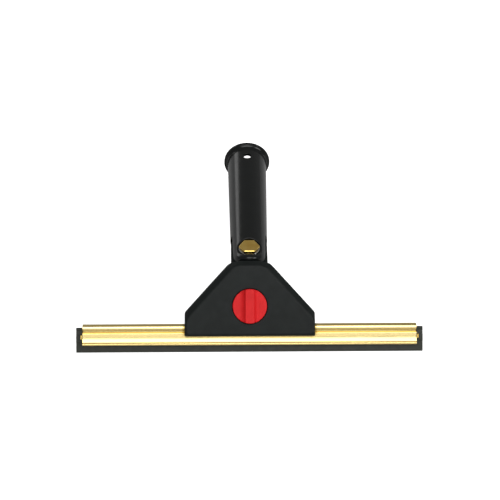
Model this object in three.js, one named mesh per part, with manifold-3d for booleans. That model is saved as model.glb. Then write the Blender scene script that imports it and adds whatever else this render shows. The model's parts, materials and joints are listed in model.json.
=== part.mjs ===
// A hand-held window squeegee: a brass rail with a rubber blade, clamped in a moulded head by a
// quarter-turn knob, on a hollow handle that swivels on the head's tongue and takes a pole.
// Millimetres and degrees, +Z up. The squeegee lies on a bench on its rubber edge and its handle's rim.
//
// Head frame:   x along the blade, y from the front face to the back, z from the rubber's edge to the neck.
// Handle frame: origin on the swivel axis, z along the tube to its mouth, y from front to back.
import * as THREE from "three";
import { mergeVertices } from "three/addons/utils/BufferGeometryUtils.js";
import Module from "manifold-3d";

const wasm = await Module();
wasm.setup();

// ---- Driving dimensions ----
const GAP = 0.3; // kept between pieces that touch, and round every screw and shaft
const SLIDE_GAP = 0.4; // round the rail in the head's jaw
const ROUND = 40; // segments of a full turn

// Rubber blade
const BLADE_LENGTH = 250;
const BLADE_OVERHANG = 4.7; // past each end of the rail
const RUBBER_THICKNESS = 1.8;
const RUBBER_SHOULDER = 3.0; // thickness of the stretch inside the rail
const RUBBER_SHOULDER_LOW = 7.4;
const BULB_PLAY = 0.8; // how loosely the rubber's bulb sits in the rail's bead

// Brass rail
const RAIL_LOW = 5; // height of its lips over the wiping edge
const RAIL_HEIGHT = 15.4;
const RAIL_DEPTH = 8;
const RAIL_WALL = 0.8;
const BEAD_RADIUS = 2.9; // the rolled bead that the jaw holds
const GROOVE_DEPTH = 4.2; // the rail's depth in the groove under the bead
const FACE_HEIGHT = 8.7; // the broad face, from the lips to the groove's slope
const GROOVE_SLOPE = 1.1; // height of that slope

// Rubber clips, one in each end of the rail
const CLIP_INSIDE = 9;
const CLIP_TAB = 1;
const CLIP_HEIGHT = 3;

// Head
const HEAD_WIDTH = 93.6;
const HEAD_LOW = 11.7; // the jaw's lower edge over the wiping edge
const HEAD_SIDE_TOP = 28.8; // where the upright sides turn into shoulders
const HEAD_TOP = 68.5;
const NECK_WIDTH = 21.2; // between the shoulders at the top
const HEAD_FRONT = 10.5; // front face, forward of the blade's mid plane
const HEAD_BACK = 10; // back face, behind it
const HEAD_WALL = 2.4;
const HEAD_BEVEL = 4; // on the shoulders and the top
const EDGE_BEVEL = 0.8; // on the sides and the lower edge
const JAW_ROOF = 3.1; // solid moulding over the rail, up to the hollow

// Cover screws, driven from the back
const SCREW_FROM_SIDE = 8.2; // the low pair, in from the head's sides
const SCREW_OVER_JAW = 3.5;
const SCREW_FROM_KNOB = 9.75; // the high pair, out from the knob's edge
const SCREW_OVER_SIDE = 10.7; // and above the top of the head's sides
const SCREW_RADIUS = 1.5;
const SCREW_HEAD_RADIUS = 2.8;
const SCREW_HEAD_HEIGHT = 2;
const SCREW_SUNK = 0.5; // how far the head lies under the back face
const SCREW_TIP = 7.2; // the tip, forward of the blade's mid plane
const SCREW_SLOT_WIDTH = 0.8; // the driver's slot in every screw head
const SCREW_SLOT_LENGTH = 4;
const SCREW_SLOT_DEPTH = 1;
const POST_RADIUS = 3.6;

// Locking knob, its cam and the slide that the cam drives
const KNOB_HEIGHT = 33.3; // the knob's axis over the wiping edge
const KNOB_RADIUS = 12.25;
const KNOB_PROUD = 0.5; // the disc's face, in front of the head's
const KNOB_RECESS = 2.5;
const KNOB_RIM_GAP = 0.4;
const GRIP_HEIGHT = 3;
const GRIP_BASE = 15;
const GRIP_TOP = 6.6;
const KNOB_FLOOR = 2.2; // the head's wall under the knob
const KNOB_SHAFT_RADIUS = 4;
const DRIVE_SQUARE = 5.6; // the square that drives the cam
const CAM_THICKNESS = 3;
const CAM_SMALL = 5; // the cam's two radii: their difference is the slide's travel
const CAM_LARGE = 6.5;
const CAM_WASHER_RADIUS = 5;
const CAM_WASHER = 1;
const CAM_SCREW_RADIUS = 1.3;
const CAM_SCREW_HEAD_RADIUS = 3;
const CAM_SCREW_HEAD = 2;
const CAM_SCREW_LENGTH = 7;
const SLIDE_WIDTH = 26;
const SLIDE_TOP_BAR = 3.5;
const SLIDE_FOOT_BACK = 3; // the foot reaches this far behind the blade's mid plane
const PAD_WIDTH = 25;
const PAD_DEPTH = 5;
const PAD_THICKNESS = 1.5;
const GUIDE_THICKNESS = 2;

// Swivel joint
const BEND = 51; // degrees from the head's plane back to the handle
const PIVOT_BACK = 10.9; // the swivel axis's place in the head frame
const PIVOT_HEIGHT = 66;
const TONGUE_THICKNESS = 8;
const TONGUE_REACH = 20.5; // radius of the tongue's end, round the swivel axis
const TONGUE_ROOT = 17; // from the swivel axis down into the head
const SWING_CLEAR = 14; // the head keeps this far below the swivel axis
const DISC_THICKNESS = 1;
const DISC_RADIUS = 11.5;
const BOLT_RADIUS = 4;
const CHEEK_SEAT = 10; // the recess floors for bolt and nut, from the tube's mid plane
const RECESS_RADIUS = 9;
const HEX_FLATS = 13;
const BOLT_HEAD = 2.5;
const NUT_HEIGHT = 4;
const SPRING_WASHER = 0.8;
const FLAT_WASHER = 1;
const WASHER_RADIUS = 7.4;

// Handle
const HANDLE_LENGTH = 124; // swivel axis to mouth
const TUBE_RADIUS = 13.3; // at the swivel axis
const MOUTH_RADIUS = 15.2; // under the rim
const RIM_RADIUS = 18;
const RIM_THICKNESS = 2.2;
const RIM_FLARE = 3.6; // height of the curve from tube to rim
const SOCKET_DEPTH = 78;
const TUBE_WALL = 2.4;
const SLOT_CLEAR = 0.5; // between the tongue's end and the bottom of the fork's slot
const CORE_WIDTH = 18; // hollow between the fork and the socket
const SOCKET_FLOOR = 4; // thickness of the wall between that hollow and the socket
const BUTTON_HOLE_RADIUS = 3; // takes a pole's spring button
const BUTTON_HOLE_PLACE = 14; // from the mouth

// ---- Sizes that follow ----
const RAIL_LENGTH = BLADE_LENGTH - 2 * BLADE_OVERHANG;
const RAIL_TOP = RAIL_LOW + RAIL_HEIGHT;
const JAW_TOP = RAIL_TOP + JAW_ROOF;
const BEAD_HEIGHT = RAIL_TOP - BEAD_RADIUS;
const CAM_FRONT = HEAD_FRONT - KNOB_RECESS - KNOB_FLOOR - GAP; // forward of the mid plane
const CAM_BACK = CAM_FRONT - CAM_THICKNESS;
const PAD_LOW = RAIL_TOP + GAP;
const SLIDE_LOW = PAD_LOW + PAD_THICKNESS + GAP;
const TONGUE_HALF = TONGUE_THICKNESS / 2;
const SLOT_TOP = TONGUE_REACH + SLOT_CLEAR;
const FLARE_LOW = HANDLE_LENGTH - RIM_THICKNESS - RIM_FLARE;
const tubeRadius = (z) => TUBE_RADIUS + (MOUTH_RADIUS - TUBE_RADIUS) * (z / FLARE_LOW);
const SOCKET_LOW = HANDLE_LENGTH - SOCKET_DEPTH;
const SOCKET_MOUTH_RADIUS = MOUTH_RADIUS - TUBE_WALL;
const SOCKET_END_RADIUS = tubeRadius(SOCKET_LOW) - TUBE_WALL;
const CHEEK_INSIDE = TONGUE_HALF + DISC_THICKNESS + 2 * GAP;
const HOLE = BOLT_RADIUS + GAP;
const FAR = 300; // longer than anything it cuts

const moulding = new THREE.MeshStandardMaterial({ color: 0x262a28, roughness: 0.45 });
const brass = new THREE.MeshStandardMaterial({ color: 0xe0c15c, roughness: 0.28, metalness: 1 });
const redPlastic = new THREE.MeshStandardMaterial({ color: 0xd8232a, roughness: 0.35 });
const rubber = new THREE.MeshStandardMaterial({ color: 0x303230, roughness: 0.8 });
const steel = new THREE.MeshStandardMaterial({ color: 0xb9bcbe, roughness: 0.35, metalness: 1 });
const whitePlastic = new THREE.MeshStandardMaterial({ color: 0xd9d8d0, roughness: 0.5 });

// ---- Tools ----
// A closed geometry as a solid that can be joined and cut.
function solid(geometry) {
  const bare = geometry.index ? geometry.toNonIndexed() : geometry.clone();
  bare.deleteAttribute("normal");
  bare.deleteAttribute("uv");
  const merged = mergeVertices(bare, 1e-4);
  return new wasm.Manifold(
    new wasm.Mesh({
      numProp: 3,
      vertProperties: merged.attributes.position.array,
      triVerts: new Uint32Array(merged.index.array),
    }),
  );
}

// A named mesh from a solid or a geometry.
function piece(name, shape, material) {
  let geometry = shape;
  if (!shape.isBufferGeometry) {
    const mesh = shape.getMesh();
    geometry = new THREE.BufferGeometry();
    geometry.setAttribute("position", new THREE.BufferAttribute(mesh.vertProperties, 3));
    geometry.setIndex(new THREE.BufferAttribute(mesh.triVerts, 1));
  }
  const flat = geometry.index ? geometry.toNonIndexed() : geometry;
  flat.computeVertexNormals();
  const made = new THREE.Mesh(flat, material);
  made.name = name;
  return made;
}

// A box between two corners.
function box(low, high) {
  const [x, y, z] = high.map((v, i) => v - low[i]);
  const geometry = new THREE.BoxGeometry(x, y, z);
  return geometry.translate(low[0] + x / 2, low[1] + y / 2, low[2] + z / 2);
}

// A rod along y from front to back, or a prism with as many sides as asked.
function rod(radius, from, to, x = 0, z = 0, sides = ROUND) {
  const geometry = new THREE.CylinderGeometry(radius, radius, to - from, sides);
  if (sides < ROUND) geometry.rotateY(Math.PI / sides);
  return geometry.translate(x, (from + to) / 2, z);
}

// An outline in x and z, given depth along y.
function slab(outline, from, to, bevel = 0) {
  const geometry = new THREE.ExtrudeGeometry(outline, {
    depth: to - from - 2 * bevel,
    bevelEnabled: bevel > 0,
    bevelThickness: bevel,
    bevelSize: bevel,
    bevelOffset: -bevel,
    bevelSegments: 3,
    curveSegments: 16,
  });
  return geometry.rotateX(Math.PI / 2).translate(0, to - bevel, 0);
}

// An outline in y and z, run along x and centred.
function bar(outline, length) {
  const geometry = new THREE.ExtrudeGeometry(outline, {
    depth: length,
    bevelEnabled: false,
    curveSegments: 12,
  });
  const turn = new THREE.Matrix4().makeBasis(
    new THREE.Vector3(0, 1, 0),
    new THREE.Vector3(0, 0, 1),
    new THREE.Vector3(1, 0, 0),
  );
  return geometry.applyMatrix4(turn).translate(-length / 2, 0, 0);
}

const ring = (inner, outer, from, to) => solid(rod(outer, from, to)).subtract(
  solid(rod(inner, from - 1, to + 1)));

// ---- Rail, rubber and clips ----
// The rail's outer outline, grown for the jaw or shrunk for the hollow.
function railOutline(grow) {
  const half = RAIL_DEPTH / 2 + grow;
  const groove = GROOVE_DEPTH / 2 + grow;
  const bead = BEAD_RADIUS + grow;
  const start = -Math.acos(groove / bead);
  const faceTop = RAIL_LOW + FACE_HEIGHT + grow;
  const outline = new THREE.Shape();
  outline.moveTo(-half, RAIL_LOW - grow);
  outline.lineTo(half, RAIL_LOW - grow);
  outline.lineTo(half, faceTop);
  outline.lineTo(groove, faceTop + GROOVE_SLOPE);
  outline.absarc(0, BEAD_HEIGHT, bead, start, Math.PI - start, false);
  outline.lineTo(-groove, faceTop + GROOVE_SLOPE);
  outline.lineTo(-half, faceTop);
  return outline;
}

const hollowTop = RAIL_LOW + FACE_HEIGHT - RAIL_WALL; // of the wide part of the hollow
const slotHalf = RUBBER_THICKNESS / 2 + GAP;
const lips = [-FAR, -slotHalf, RAIL_LOW - 1];
const lipsTop = [FAR, slotHalf, RAIL_LOW + RAIL_WALL + 1];

function makeRail() {
  return solid(bar(railOutline(0), RAIL_LENGTH))
    .subtract(solid(bar(railOutline(-RAIL_WALL), RAIL_LENGTH + 2)))
    .subtract(solid(box(lips, lipsTop)));
}

function makeRubber() {
  const thin = RUBBER_THICKNESS / 2;
  const thick = RUBBER_SHOULDER / 2;
  const bulb = BEAD_RADIUS - RAIL_WALL - BULB_PLAY;
  const start = -Math.acos(thin / bulb);
  const shoulderTop = hollowTop - GAP;
  const outline = new THREE.Shape();
  outline.moveTo(-thin, 0);
  outline.lineTo(thin, 0);
  outline.lineTo(thin, RUBBER_SHOULDER_LOW);
  outline.lineTo(thick, RUBBER_SHOULDER_LOW);
  outline.lineTo(thick, shoulderTop);
  outline.lineTo(thin, shoulderTop);
  outline.absarc(0, BEAD_HEIGHT - BULB_PLAY, bulb, start, Math.PI - start, false);
  outline.lineTo(-thin, shoulderTop);
  outline.lineTo(-thick, shoulderTop);
  outline.lineTo(-thick, RUBBER_SHOULDER_LOW);
  outline.lineTo(-thin, RUBBER_SHOULDER_LOW);
  return bar(outline, BLADE_LENGTH);
}

// A clip lies in the front of the hollow, and its tab turns out over the rail's end.
function makeClip(side) {
  const end = RAIL_LENGTH / 2;
  const rear = -RUBBER_SHOULDER / 2 - GAP;
  const front = -RAIL_DEPTH / 2 + RAIL_WALL + GAP;
  const low = hollowTop - GAP - CLIP_HEIGHT;
  const leg = box([end - CLIP_INSIDE, front, low], [end + GAP + CLIP_TAB, rear, low + CLIP_HEIGHT]);
  const tab = box([end + GAP, -RAIL_DEPTH / 2, low], [end + GAP + CLIP_TAB, rear, low + CLIP_HEIGHT]);
  const clip = solid(leg).add(solid(tab));
  return side > 0 ? clip : clip.mirror([1, 0, 0]);
}

// ---- Head ----
const shoulderRun = (HEAD_WIDTH - NECK_WIDTH) / 2 / (HEAD_TOP - HEAD_SIDE_TOP);

// The head's outline: its shoulders are moved in by inset, its sides and ends stand as given.
function headOutline(inset, side, low, top) {
  const across = inset * Math.hypot(1, shoulderRun);
  const reach = (z) => NECK_WIDTH / 2 + (HEAD_TOP - z) * shoulderRun - across;
  const corner = HEAD_TOP - (side - NECK_WIDTH / 2 + across) / shoulderRun;
  const outline = new THREE.Shape();
  outline.moveTo(-side, low);
  outline.lineTo(side, low);
  outline.lineTo(side, corner);
  outline.lineTo(reach(top), top);
  outline.lineTo(-reach(top), top);
  outline.lineTo(-side, corner);
  return outline;
}

// One half of the head's outside, between two depths: bevelled on its outer face, square at the split.
function headHalf(from, to) {
  const spare = HEAD_BEVEL - EDGE_BEVEL;
  const half = HEAD_WIDTH / 2;
  const wide = headOutline(0, half + spare, HEAD_LOW - spare, HEAD_TOP);
  const front = from < 0 ? from : to - 2 * (to - from) - HEAD_BEVEL;
  const back = from < 0 ? from + 2 * (to - from) + HEAD_BEVEL : to;
  return solid(slab(wide, front, back, HEAD_BEVEL))
    .intersect(solid(slab(headOutline(0, half, HEAD_LOW, HEAD_TOP), from, to)));
}

// A solid of the handle frame, brought into the head frame.
const bend = THREE.MathUtils.degToRad(BEND);
const handlePlace = new THREE.Matrix4()
  .makeRotationX(-bend)
  .setPosition(0, PIVOT_BACK, PIVOT_HEIGHT);
const fromHandle = (geometry) => solid(geometry.applyMatrix4(handlePlace));

// The space that the handle's fork and tube swing through, or that plus a wall.
const swing = (wall) => fromHandle(
  box([-FAR, -FAR, -SWING_CLEAR - wall], [FAR, FAR, FAR]));

function tongue(grow) {
  const half = TUBE_RADIUS + grow;
  const outline = new THREE.Shape();
  outline.moveTo(-half, -TONGUE_ROOT - grow);
  outline.lineTo(half, -TONGUE_ROOT - grow);
  const start = Math.acos(half / TONGUE_REACH);
  outline.absarc(0, 0, TONGUE_REACH, start, Math.PI - start, false);
  return slab(outline, -TONGUE_HALF - grow, TONGUE_HALF + grow);
}

const innerHalf = HEAD_WIDTH / 2 - HEAD_WALL;
const cavity = solid(slab(
  headOutline(HEAD_WALL, innerHalf, JAW_TOP, HEAD_TOP - HEAD_WALL),
  -HEAD_FRONT + HEAD_WALL, HEAD_BACK - HEAD_WALL,
)).subtract(swing(HEAD_WALL));
const jaw = solid(bar(railOutline(SLIDE_GAP), HEAD_WIDTH + 2));
const jawMouth = solid(box(
  [-FAR, -RAIL_DEPTH / 2 - SLIDE_GAP, HEAD_LOW - 1],
  [FAR, RAIL_DEPTH / 2 + SLIDE_GAP, HEAD_LOW + 1],
));
// Room for the slide's foot and pad, over the bead.
const footRoom = solid(box(
  [-SLIDE_WIDTH / 2 - SLIDE_GAP, -CAM_FRONT - SLIDE_GAP, RAIL_TOP - GAP],
  [SLIDE_WIDTH / 2 + SLIDE_GAP, SLIDE_FOOT_BACK + SLIDE_GAP, JAW_TOP + 1],
));
const lowScrew = [HEAD_WIDTH / 2 - SCREW_FROM_SIDE, JAW_TOP + SCREW_OVER_JAW];
const highScrew = [KNOB_RADIUS + SCREW_FROM_KNOB, HEAD_SIDE_TOP + SCREW_OVER_SIDE];
const screwAxes = [lowScrew, highScrew].flatMap(([x, z]) => [[-x, z], [x, z]]);

function posts(from, to) {
  return screwAxes
    .map(([x, z]) => solid(rod(POST_RADIUS, from, to, x, z, ROUND / 2)))
    .reduce((all, one) => all.add(one));
}

function makeHeadBody() {
  let body = headHalf(GAP / 2, HEAD_BACK)
    .subtract(swing(0))
    .subtract(cavity)
    .add(posts(GAP / 2, HEAD_BACK - EDGE_BEVEL))
    .subtract(jaw)
    .subtract(jawMouth)
    .subtract(footRoom)
    .add(fromHandle(tongue(0)))
    .subtract(fromHandle(rod(HOLE, -FAR, FAR)));
  for (const [x, z] of screwAxes) {
    body = body
      .subtract(solid(rod(SCREW_RADIUS + GAP, -1, HEAD_BACK, x, z, ROUND / 2)))
      .subtract(solid(rod(
        SCREW_HEAD_RADIUS + GAP, HEAD_BACK - SCREW_SUNK - SCREW_HEAD_HEIGHT - GAP, FAR, x, z)));
  }
  return body;
}

function makeFrontCover() {
  const face = -HEAD_FRONT;
  const recessFloor = face + KNOB_RECESS;
  const guideTop = KNOB_HEIGHT + CAM_LARGE + SLIDE_TOP_BAR;
  let cover = headHalf(face, -GAP / 2)
    .subtract(swing(0))
    .subtract(cavity)
    .add(posts(face + HEAD_WALL / 2, -GAP / 2));
  const boss = KNOB_RADIUS + KNOB_RIM_GAP + HEAD_WALL;
  cover = cover.add(solid(rod(boss, face + 1, recessFloor + KNOB_FLOOR, 0, KNOB_HEIGHT)));
  for (const side of [-1, 1]) {
    const inside = side * (SLIDE_WIDTH / 2 + SLIDE_GAP);
    const outside = inside + side * GUIDE_THICKNESS;
    cover = cover.add(solid(box(
      [Math.min(inside, outside), face + 1, JAW_TOP - 1],
      [Math.max(inside, outside), -CAM_BACK, guideTop],
    )));
  }
  cover = cover
    .subtract(solid(rod(KNOB_RADIUS + KNOB_RIM_GAP, face - 1, recessFloor, 0, KNOB_HEIGHT)))
    .subtract(solid(rod(KNOB_SHAFT_RADIUS + GAP, face - 1, 0, 0, KNOB_HEIGHT)))
    .subtract(jaw)
    .subtract(jawMouth)
    .subtract(footRoom)
    .subtract(fromHandle(tongue(GAP)));
  for (const [x, z] of screwAxes)
    cover = cover.subtract(
      solid(rod(SCREW_RADIUS + GAP, -SCREW_TIP - GAP, 1, x, z, ROUND / 2)));
  return cover;
}

// The driver's slot in a screw head whose outer face is at back.
function screwSlot(x, z, back) {
  const length = SCREW_SLOT_LENGTH / 2;
  const width = SCREW_SLOT_WIDTH / 2;
  return solid(box(
    [x - length, back - SCREW_SLOT_DEPTH, z - width], [x + length, back + 1, z + width]));
}

function makeCoverScrew(x, z) {
  const headBack = HEAD_BACK - SCREW_SUNK;
  const headFront = headBack - SCREW_HEAD_HEIGHT;
  return solid(rod(SCREW_RADIUS, -SCREW_TIP, headFront + GAP, x, z, ROUND / 2))
    .add(solid(rod(SCREW_HEAD_RADIUS, headFront, headBack, x, z, ROUND / 2)))
    .subtract(screwSlot(x, z, headBack));
}

// ---- Lock: knob frame has its origin on the knob's axis, in the blade's mid plane ----
function makeKnob() {
  const back = -HEAD_FRONT + KNOB_RECESS - GAP;
  const face = -HEAD_FRONT - KNOB_PROUD;
  const grip = new THREE.Shape();
  grip.moveTo(-GRIP_BASE / 2, face + 1);
  grip.lineTo(-GRIP_BASE / 2, face);
  grip.lineTo(-GRIP_TOP / 2, face - GRIP_HEIGHT);
  grip.lineTo(GRIP_TOP / 2, face - GRIP_HEIGHT);
  grip.lineTo(GRIP_BASE / 2, face);
  grip.lineTo(GRIP_BASE / 2, face + 1);
  const length = 2 * KNOB_RADIUS + 2;
  const gripBar = new THREE.ExtrudeGeometry(grip, { depth: length, bevelEnabled: false })
    .translate(0, 0, -length / 2);
  const square = DRIVE_SQUARE / 2;
  return solid(rod(KNOB_RADIUS, face, back))
    .add(solid(gripBar).intersect(solid(rod(KNOB_RADIUS, face - GRIP_HEIGHT - 1, back))))
    .add(solid(rod(KNOB_SHAFT_RADIUS, back - 1, -CAM_FRONT)))
    .add(solid(box([-square, -CAM_FRONT - 1, -square], [square, -CAM_BACK, square])))
    .subtract(solid(rod(
      CAM_SCREW_RADIUS + GAP, -CAM_BACK - CAM_SCREW_LENGTH - GAP, 1, 0, 0, ROUND / 2)));
}

// A cam as broad at every angle: two quarter circles, joined by quarter spirals. The large radius points
// down and to the right at rest, and a quarter turn moves the window round it up by the difference.
function makeCam() {
  const outline = new THREE.Shape();
  const steps = 10;
  const rise = (CAM_LARGE - CAM_SMALL) / steps;
  const turn = (quarter, step) => (Math.PI / 2) * (quarter + step / steps);
  const at = (radius, angle) => [radius * Math.cos(angle), radius * Math.sin(angle)];
  outline.moveTo(...at(CAM_LARGE, turn(-1, 0)));
  for (let i = 1; i <= steps; i++) outline.lineTo(...at(CAM_LARGE, turn(-1, i)));
  for (let i = 1; i <= steps; i++) outline.lineTo(...at(CAM_LARGE - rise * i, turn(0, i)));
  for (let i = 1; i <= steps; i++) outline.lineTo(...at(CAM_SMALL, turn(1, i)));
  for (let i = 1; i < steps; i++) outline.lineTo(...at(CAM_SMALL + rise * i, turn(2, i)));
  const hole = DRIVE_SQUARE / 2 + GAP;
  return solid(slab(outline, -CAM_FRONT, -CAM_BACK))
    .subtract(solid(box([-hole, -FAR, -hole], [hole, FAR, hole])));
}

const washerFront = -CAM_BACK + GAP;

function makeCamScrew() {
  const seat = washerFront + CAM_WASHER + GAP;
  return solid(rod(CAM_SCREW_RADIUS, -CAM_BACK - CAM_SCREW_LENGTH, seat + GAP, 0, 0, ROUND / 2))
    .add(solid(rod(CAM_SCREW_HEAD_RADIUS, seat, seat + CAM_SCREW_HEAD, 0, 0, ROUND / 2)))
    .subtract(screwSlot(0, 0, seat + CAM_SCREW_HEAD));
}

function makeLockSlide() {
  const half = SLIDE_WIDTH / 2;
  const windowLow = KNOB_HEIGHT - CAM_LARGE - GAP;
  const windowHigh = KNOB_HEIGHT + CAM_SMALL + GAP;
  const windowHalf = CAM_LARGE + GAP;
  return solid(box([-half, -CAM_FRONT, SLIDE_LOW], [half, -CAM_BACK, windowHigh + SLIDE_TOP_BAR]))
    .add(solid(box([-half, -CAM_FRONT, SLIDE_LOW], [half, SLIDE_FOOT_BACK, windowLow])))
    .subtract(solid(box([-windowHalf, -FAR, windowLow], [windowHalf, FAR, windowHigh])));
}

// ---- Handle ----
function makeHandleTube() {
  const profile = [
    new THREE.Vector2(0, -TUBE_RADIUS),
    new THREE.Vector2(TUBE_RADIUS, -TUBE_RADIUS),
    new THREE.Vector2(TUBE_RADIUS, 0),
  ];
  const flareSteps = 4;
  for (let i = 0; i <= flareSteps; i++) {
    const angle = (Math.PI / 2) * (i / flareSteps);
    profile.push(new THREE.Vector2(
      RIM_RADIUS - (RIM_RADIUS - MOUTH_RADIUS) * Math.cos(angle),
      FLARE_LOW + RIM_FLARE * Math.sin(angle),
    ));
  }
  profile.push(new THREE.Vector2(RIM_RADIUS, HANDLE_LENGTH));
  profile.push(new THREE.Vector2(0, HANDLE_LENGTH));
  const outside = new THREE.LatheGeometry(profile, ROUND).rotateX(Math.PI / 2);

  const end = new THREE.Shape();
  end.moveTo(-RIM_RADIUS - 1, HANDLE_LENGTH + 1);
  end.lineTo(-RIM_RADIUS - 1, 0);
  end.lineTo(-TUBE_RADIUS, 0);
  end.absarc(0, 0, TUBE_RADIUS, Math.PI, 2 * Math.PI, false);
  end.lineTo(RIM_RADIUS + 1, 0);
  end.lineTo(RIM_RADIUS + 1, HANDLE_LENGTH + 1);

  const socket = new THREE.CylinderGeometry(
    SOCKET_MOUTH_RADIUS, SOCKET_END_RADIUS, SOCKET_DEPTH, ROUND)
    .rotateX(Math.PI / 2)
    .translate(0, 0, SOCKET_LOW + SOCKET_DEPTH / 2);
  const socketExit = rodAlongTube(SOCKET_MOUTH_RADIUS, HANDLE_LENGTH - 0.01, HANDLE_LENGTH + 1);
  return solid(outside)
    .intersect(solid(slab(end, -RIM_RADIUS - 1, RIM_RADIUS + 1)))
    .subtract(solid(socket))
    .subtract(solid(socketExit))
    .subtract(solid(box([-FAR, -CHEEK_INSIDE, -FAR], [FAR, CHEEK_INSIDE, SLOT_TOP])))
    .subtract(solid(box(
      [-CORE_WIDTH / 2, -CHEEK_INSIDE, SLOT_TOP - 1],
      [CORE_WIDTH / 2, CHEEK_INSIDE, SOCKET_LOW - SOCKET_FLOOR],
    )))
    .subtract(solid(rod(HOLE, -FAR, FAR)))
    .subtract(solid(rod(RECESS_RADIUS, -FAR, -CHEEK_SEAT)))
    .subtract(solid(rod(RECESS_RADIUS, CHEEK_SEAT, FAR)))
    .subtract(solid(rod(
      BUTTON_HOLE_RADIUS, -FAR, 0, 0, HANDLE_LENGTH - BUTTON_HOLE_PLACE, ROUND / 2)));
}

function rodAlongTube(radius, from, to) {
  return new THREE.CylinderGeometry(radius, radius, to - from, ROUND)
    .rotateX(Math.PI / 2)
    .translate(0, 0, (from + to) / 2);
}

const hexRadius = HEX_FLATS / 2 / Math.cos(Math.PI / 6);
const boltSeat = -CHEEK_SEAT - GAP - SPRING_WASHER - GAP;
const nutSeat = CHEEK_SEAT + GAP + FLAT_WASHER + GAP;

// A prism of six sides along y, with two corners out to the left and right.
const hexagon = (from, to) =>
  new THREE.CylinderGeometry(hexRadius, hexRadius, to - from, 6)
    .rotateY(Math.PI / 2)
    .translate(0, (from + to) / 2, 0);

const makePivotBolt = () => solid(hexagon(boltSeat - BOLT_HEAD, boltSeat))
  .add(solid(rod(BOLT_RADIUS, boltSeat - 1, nutSeat + NUT_HEIGHT)));

const makePivotNut = () => solid(hexagon(nutSeat, nutSeat + NUT_HEIGHT))
  .subtract(solid(rod(HOLE, -FAR, FAR)));

// A split lock washer.
const makeSpringWasher = () => ring(HOLE, WASHER_RADIUS, boltSeat + GAP, -CHEEK_SEAT - GAP)
  .subtract(solid(box([-GAP, -FAR, 0], [GAP, 0, FAR])));

const makeDisc = (side) => {
  const near = TONGUE_HALF + GAP;
  const far = near + DISC_THICKNESS;
  return ring(HOLE, DISC_RADIUS, side > 0 ? near : -far, side > 0 ? far : -near);
};

// ---- Assembly ----
const rail = new THREE.Group();
rail.add(
  piece("rail", makeRail(), brass),
  piece("rubber_blade", makeRubber(), rubber),
  piece("rubber_clip_left", makeClip(-1), brass),
  piece("rubber_clip_right", makeClip(1), brass),
);

const knob = new THREE.Group();
knob.position.z = KNOB_HEIGHT;
knob.add(
  piece("lock_knob", makeKnob(), redPlastic),
  piece("lock_cam", makeCam(), whitePlastic),
  piece("cam_washer",
    ring(CAM_SCREW_RADIUS + GAP, CAM_WASHER_RADIUS, washerFront, washerFront + CAM_WASHER), steel),
  piece("cam_screw", makeCamScrew(), steel),
);

const padHalf = PAD_WIDTH / 2;
const lock = new THREE.Group();
lock.add(
  piece("lock_slide", makeLockSlide(), whitePlastic),
  piece("clamp_pad", box(
    [-padHalf, -PAD_DEPTH / 2, PAD_LOW], [padHalf, PAD_DEPTH / 2, PAD_LOW + PAD_THICKNESS]), rubber),
);

const handle = new THREE.Group();
handle.position.set(0, PIVOT_BACK, PIVOT_HEIGHT);
handle.rotation.x = -bend;
handle.add(
  piece("handle_tube", makeHandleTube(), moulding),
  piece("pivot_bolt", makePivotBolt(), brass),
  piece("spring_washer", makeSpringWasher(), steel),
  piece("pivot_washer", ring(HOLE, WASHER_RADIUS, CHEEK_SEAT + GAP, nutSeat - GAP), steel),
  piece("pivot_nut", makePivotNut(), brass),
  piece("friction_disc_front", makeDisc(-1), whitePlastic),
  piece("friction_disc_rear", makeDisc(1), whitePlastic),
);

const head = new THREE.Group();
head.add(
  piece("head_body", makeHeadBody(), moulding),
  piece("front_cover", makeFrontCover(), moulding),
  rail, knob, lock, handle,
);
const screwNames = ["low_left", "low_right", "high_left", "high_right"];
screwAxes.forEach(([x, z], i) =>
  head.add(piece("cover_screw_" + screwNames[i], makeCoverScrew(x, z), steel)));

// The head leans so that the rubber's rear edge and the rim's rear edge lie on one level.
const rimBack = PIVOT_BACK + HANDLE_LENGTH * Math.sin(bend) + RIM_RADIUS * Math.cos(bend);
const rimHeight = PIVOT_HEIGHT + HANDLE_LENGTH * Math.cos(bend) - RIM_RADIUS * Math.sin(bend);
head.rotation.x = -Math.atan2(rimHeight, rimBack - RUBBER_THICKNESS / 2);

const squeegee = new THREE.Group();
squeegee.add(head);
squeegee.updateMatrixWorld(true);
const extent = new THREE.Box3().setFromObject(squeegee, true);
head.position.set(0, -(extent.min.y + extent.max.y) / 2, -extent.min.z);

export default squeegee;
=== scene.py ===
# A hand-held window squeegee. Shapes are worked out in millimetres, in the head's or the handle's own
# directions, and are then placed where the frame's joints say.
# Head:   x along the blade, y from the front face to the back, z from the rubber's edge to the neck.
# Handle: origin on the swivel axis, z along the tube to its mouth, y from front to back.
# Knob:   origin on the knob's axis, directions as the head's.
import json
import math

import bmesh
import bpy
import numpy as np
from mathutils import Matrix, Vector


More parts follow.
